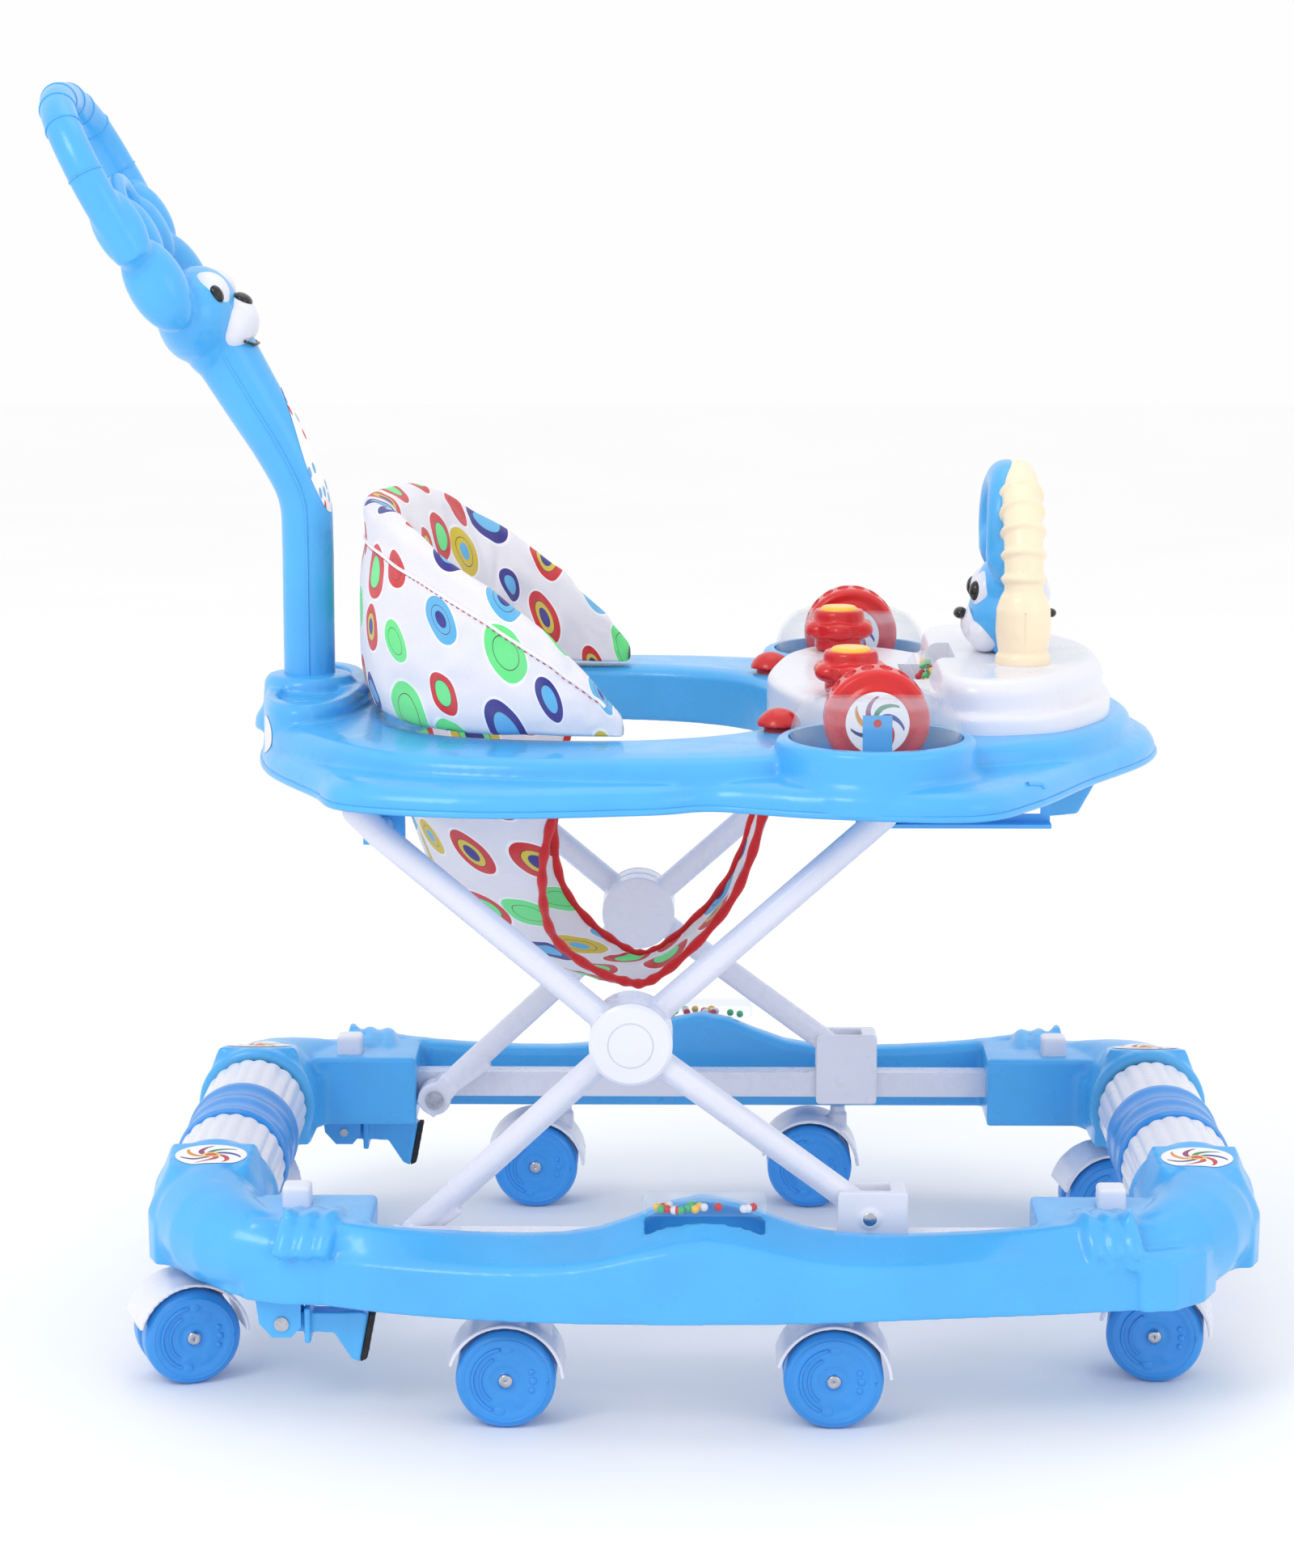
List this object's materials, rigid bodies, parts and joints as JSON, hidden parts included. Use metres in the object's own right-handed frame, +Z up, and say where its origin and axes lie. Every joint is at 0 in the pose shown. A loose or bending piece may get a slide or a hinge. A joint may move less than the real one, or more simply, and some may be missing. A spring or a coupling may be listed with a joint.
{
  "type": "baby walker",
  "caption": "Folding baby walker: wheeled oval base, scissor legs, play tray, padded dotted seat, toy arch and a push handle.",
  "frame": {"origin": "on the floor, under the middle of the walker's overall box", "axes": "+X forward (child faces +X), +Y to the child's left, +Z up"},
  "size_m": [0.779, 0.5704, 0.817],
  "materials": {
    "blue_shell": "glossy moulded plastic",
    "blue_wheel": "moulded plastic",
    "white_plastic": "glossy moulded plastic",
    "white_tube": "white enamel",
    "steel": "bright",
    "clear": "clear moulded plastic",
    "cream": "moulded plastic",
    "red": "moulded plastic",
    "yellow": "moulded plastic",
    "rubber": "ribbed rubber",
    "seat_fabric": "polka-dot woven cloth",
    "sling_fabric": "polka-dot woven cloth"
  },
  "bodies": {
    "base": {"base_side_left": "blue_shell", "base_side_right": "blue_shell", "cross_tubes": "white_tube", "steel_rails": "white_tube", "leg_pivot_pins": "steel", "rail_windows": "clear", "stopper_brackets": "blue_shell", "stopper_pins": "steel"},
    "leg_b": {"leg_frame_b": "white_tube"},
    "leg_a": {"leg_frame_a": "white_tube", "hub_caps": "white_plastic"},
    "rail_slider": {"rail_sliders": "white_plastic"},
    "tray_slide": {"tray_slides": "blue_shell"},
    "tray": {"tray_shell": "blue_shell", "tray_brackets": "blue_shell", "console": "white_plastic", "dome_covers": "clear", "wheel_posts": "blue_shell", "toy_arch": "cream", "arch_figure": "blue_shell", "push_handle": "blue_shell", "seat_back": "seat_fabric", "seat_sling": "sling_fabric"},
    "front_roller": {"front_roller": "blue_wheel"},
    "lock_button_front_left": {"lock_button_front_left": "white_plastic"},
    "lock_button_front_right": {"lock_button_front_right": "white_plastic"},
    "rear_roller": {"rear_roller": "blue_wheel"},
    "lock_button_rear_left": {"lock_button_rear_left": "white_plastic"},
    "lock_button_rear_right": {"lock_button_rear_right": "white_plastic"},
    "caster_front_left": {"caster_fork_front_left": "white_plastic"},
    "wheels_front_left": {"caster_wheels_front_left": "blue_wheel"},
    "caster_front_right": {"caster_fork_front_right": "white_plastic"},
    "wheels_front_right": {"caster_wheels_front_right": "blue_wheel"},
    "caster_rear_left": {"caster_fork_rear_left": "white_plastic"},
    "wheels_rear_left": {"caster_wheels_rear_left": "blue_wheel"},
    "caster_rear_right": {"caster_fork_rear_right": "white_plastic"},
    "wheels_rear_right": {"caster_wheels_rear_right": "blue_wheel"},
    "caster_mid_front_left": {"caster_fork_mid_front_left": "white_plastic"},
    "wheels_mid_front_left": {"caster_wheels_mid_front_left": "blue_wheel"},
    "caster_mid_front_right": {"caster_fork_mid_front_right": "white_plastic"},
    "wheels_mid_front_right": {"caster_wheels_mid_front_right": "blue_wheel"},
    "caster_mid_rear_left": {"caster_fork_mid_rear_left": "white_plastic"},
    "wheels_mid_rear_left": {"caster_wheels_mid_rear_left": "blue_wheel"},
    "caster_mid_rear_right": {"caster_fork_mid_rear_right": "white_plastic"},
    "wheels_mid_rear_right": {"caster_wheels_mid_rear_right": "blue_wheel"},
    "stopper_left": {"stopper_arm_left": "blue_shell", "stopper_pad_left": "rubber"},
    "gear_wheel_left": {"gear_wheel_left": "red"},
    "flower_knob_left": {"flower_knob_left": "red"},
    "knob_button_left": {"knob_button_left": "yellow"},
    "red_button_left": {"red_button_left": "red"},
    "stopper_right": {"stopper_arm_right": "blue_shell", "stopper_pad_right": "rubber"},
    "gear_wheel_right": {"gear_wheel_right": "red"},
    "flower_knob_right": {"flower_knob_right": "red"},
    "knob_button_right": {"knob_button_right": "yellow"},
    "red_button_right": {"red_button_right": "red"},
    "bead_roller": {"bead_roller": "clear"},
    "height_lever": {"height_lever": "blue_shell"}
  },
  "joints": [
    {"name": "leg_fold", "type": "hinge", "parent": "base", "child": "leg_b", "pos_m": [-0.1565, 0, 0.094], "axis": [0, 1, 0], "range_deg": [0, 24]},
    {"name": "scissor_hub", "type": "hinge", "parent": "leg_b", "child": "leg_a", "pos_m": [-0.00901, 0, 0.23202], "axis": [0, 1, 0], "range_deg": [-49, 0]},
    {"name": "tray_pivot", "type": "hinge", "parent": "leg_a", "child": "tray", "pos_m": [-0.16306, 0, 0.36175], "axis": [0, 1, 0], "range_deg": [0, 25]},
    {"name": "rail_slider_pivot", "type": "hinge", "parent": "leg_a", "child": "rail_slider", "pos_m": [0.13972, 0, 0.122], "axis": [0, 1, 0], "range_deg": [0, 25]},
    {"name": "tray_slide_pivot", "type": "hinge", "parent": "leg_b", "child": "tray_slide", "pos_m": [0.14781, 0, 0.37125], "axis": [0, 1, 0], "range_deg": [-25, 0]},
    {"name": "front_roller_spin", "type": "hinge", "parent": "base", "child": "front_roller", "pos_m": [0.3515, 0, 0.105], "axis": [0, 1, 0], "continuous": true},
    {"name": "lock_button_front_left_press", "type": "slide", "parent": "base", "child": "lock_button_front_left", "axis": [0, 0, -1], "range_m": [0, 0.005], "stiffness_N_per_m": 400},
    {"name": "lock_button_front_right_press", "type": "slide", "parent": "base", "child": "lock_button_front_right", "axis": [0, 0, -1], "range_m": [0, 0.005], "stiffness_N_per_m": 400},
    {"name": "rear_roller_spin", "type": "hinge", "parent": "base", "child": "rear_roller", "pos_m": [-0.2785, 0, 0.105], "axis": [0, 1, 0], "continuous": true},
    {"name": "lock_button_rear_left_press", "type": "slide", "parent": "base", "child": "lock_button_rear_left", "axis": [0, 0, -1], "range_m": [0, 0.005], "stiffness_N_per_m": 400},
    {"name": "lock_button_rear_right_press", "type": "slide", "parent": "base", "child": "lock_button_rear_right", "axis": [0, 0, -1], "range_m": [0, 0.005], "stiffness_N_per_m": 400},
    {"name": "caster_swivel_front_left", "type": "hinge", "parent": "base", "child": "caster_front_left", "pos_m": [0.3475, 0.152, 0.06], "axis": [0, 0, 1], "continuous": true},
    {"name": "wheel_spin_front_left", "type": "hinge", "parent": "caster_front_left", "child": "wheels_front_left", "pos_m": [0.3267, 0.14908, 0.031], "axis": [-0.1392, 0.9903, 0], "continuous": true},
    {"name": "caster_swivel_front_right", "type": "hinge", "parent": "base", "child": "caster_front_right", "pos_m": [0.3475, -0.152, 0.06], "axis": [0, 0, 1], "continuous": true},
    {"name": "wheel_spin_front_right", "type": "hinge", "parent": "caster_front_right", "child": "wheels_front_right", "pos_m": [0.3267, -0.14908, 0.031], "axis": [0.1392, 0.9903, 0], "continuous": true},
    {"name": "caster_swivel_rear_left", "type": "hinge", "parent": "base", "child": "caster_rear_left", "pos_m": [-0.2745, 0.152, 0.06], "axis": [0, 0, 1], "continuous": true},
    {"name": "wheel_spin_rear_left", "type": "hinge", "parent": "caster_rear_left", "child": "wheels_rear_left", "pos_m": [-0.29423, 0.15918, 0.031], "axis": [0.342, 0.9397, 0], "continuous": true},
    {"name": "caster_swivel_rear_right", "type": "hinge", "parent": "base", "child": "caster_rear_right", "pos_m": [-0.2745, -0.152, 0.06], "axis": [0, 0, 1], "continuous": true},
    {"name": "wheel_spin_rear_right", "type": "hinge", "parent": "caster_rear_right", "child": "wheels_rear_right", "pos_m": [-0.29423, -0.15918, 0.031], "axis": [-0.342, 0.9397, 0], "continuous": true},
    {"name": "caster_swivel_mid_front_left", "type": "hinge", "parent": "base", "child": "caster_mid_front_left", "pos_m": [0.1375, 0.238, 0.06], "axis": [0, 0, 1], "continuous": true},
    {"name": "wheel_spin_mid_front_left", "type": "hinge", "parent": "caster_mid_front_left", "child": "wheels_mid_front_left", "pos_m": [0.1165, 0.238, 0.031], "axis": [0, 1, 0], "continuous": true},
    {"name": "caster_swivel_mid_front_right", "type": "hinge", "parent": "base", "child": "caster_mid_front_right", "pos_m": [0.1375, -0.238, 0.06], "axis": [0, 0, 1], "continuous": true},
    {"name": "wheel_spin_mid_front_right", "type": "hinge", "parent": "caster_mid_front_right", "child": "wheels_mid_front_right", "pos_m": [0.1165, -0.238, 0.031], "axis": [0, 1, 0], "continuous": true},
    {"name": "caster_swivel_mid_rear_left", "type": "hinge", "parent": "base", "child": "caster_mid_rear_left", "pos_m": [-0.0645, 0.238, 0.06], "axis": [0, 0, 1], "continuous": true},
    {"name": "wheel_spin_mid_rear_left", "type": "hinge", "parent": "caster_mid_rear_left", "child": "wheels_mid_rear_left", "pos_m": [-0.0855, 0.238, 0.031], "axis": [0, 1, 0], "continuous": true},
    {"name": "caster_swivel_mid_rear_right", "type": "hinge", "parent": "base", "child": "caster_mid_rear_right", "pos_m": [-0.0645, -0.238, 0.06], "axis": [0, 0, 1], "continuous": true},
    {"name": "wheel_spin_mid_rear_right", "type": "hinge", "parent": "caster_mid_rear_right", "child": "wheels_mid_rear_right", "pos_m": [-0.0855, -0.238, 0.031], "axis": [0, 1, 0], "continuous": true},
    {"name": "stopper_flip_left", "type": "hinge", "parent": "base", "child": "stopper_left", "pos_m": [-0.2255, 0, 0.059], "axis": [0, 1, 0], "range_deg": [0, 90]},
    {"name": "gear_spin_left", "type": "hinge", "parent": "tray", "child": "gear_wheel_left", "pos_m": [0.1415, 0.19, 0.433], "axis": [0, 1, 0], "continuous": true},
    {"name": "knob_turn_left", "type": "hinge", "parent": "tray", "child": "flower_knob_left", "pos_m": [0.1295, 0.097, 0.44], "axis": [0, 0, 1], "continuous": true},
    {"name": "knob_press_left", "type": "slide", "parent": "flower_knob_left", "child": "knob_button_left", "axis": [0, 0, -1], "range_m": [0, 0.0025], "stiffness_N_per_m": 300},
    {"name": "red_press_left", "type": "slide", "parent": "tray", "child": "red_button_left", "axis": [0, 0, -1], "range_m": [0, 0.0022], "stiffness_N_per_m": 400},
    {"name": "stopper_flip_right", "type": "hinge", "parent": "base", "child": "stopper_right", "pos_m": [-0.2255, 0, 0.059], "axis": [0, 1, 0], "range_deg": [0, 90]},
    {"name": "gear_spin_right", "type": "hinge", "parent": "tray", "child": "gear_wheel_right", "pos_m": [0.1415, -0.19, 0.433], "axis": [0, 1, 0], "continuous": true},
    {"name": "knob_turn_right", "type": "hinge", "parent": "tray", "child": "flower_knob_right", "pos_m": [0.1295, -0.097, 0.44], "axis": [0, 0, 1], "continuous": true},
    {"name": "knob_press_right", "type": "slide", "parent": "flower_knob_right", "child": "knob_button_right", "axis": [0, 0, -1], "range_m": [0, 0.0025], "stiffness_N_per_m": 300},
    {"name": "red_press_right", "type": "slide", "parent": "tray", "child": "red_button_right", "axis": [0, 0, -1], "range_m": [0, 0.0022], "stiffness_N_per_m": 400},
    {"name": "bead_roller_spin", "type": "hinge", "parent": "tray", "child": "bead_roller", "pos_m": [0.1835, 0, 0.432], "axis": [0, 1, 0], "continuous": true},
    {"name": "lever_pull", "type": "hinge", "parent": "tray", "child": "height_lever", "pos_m": [0.2565, 0, 0.372], "axis": [0, 1, 0], "range_deg": [0, 20], "stiffness_Nm_per_rad": 1.2, "springref_deg": -11.46}
  ],
  "couplings": [
    {"joint": "scissor_hub", "follows": "leg_fold", "ratio": -2.025},
    {"joint": "tray_pivot", "follows": "leg_fold", "ratio": 1.025},
    {"joint": "rail_slider_pivot", "follows": "leg_fold", "ratio": 1.025},
    {"joint": "tray_slide_pivot", "follows": "leg_fold", "ratio": -1}
  ]
}
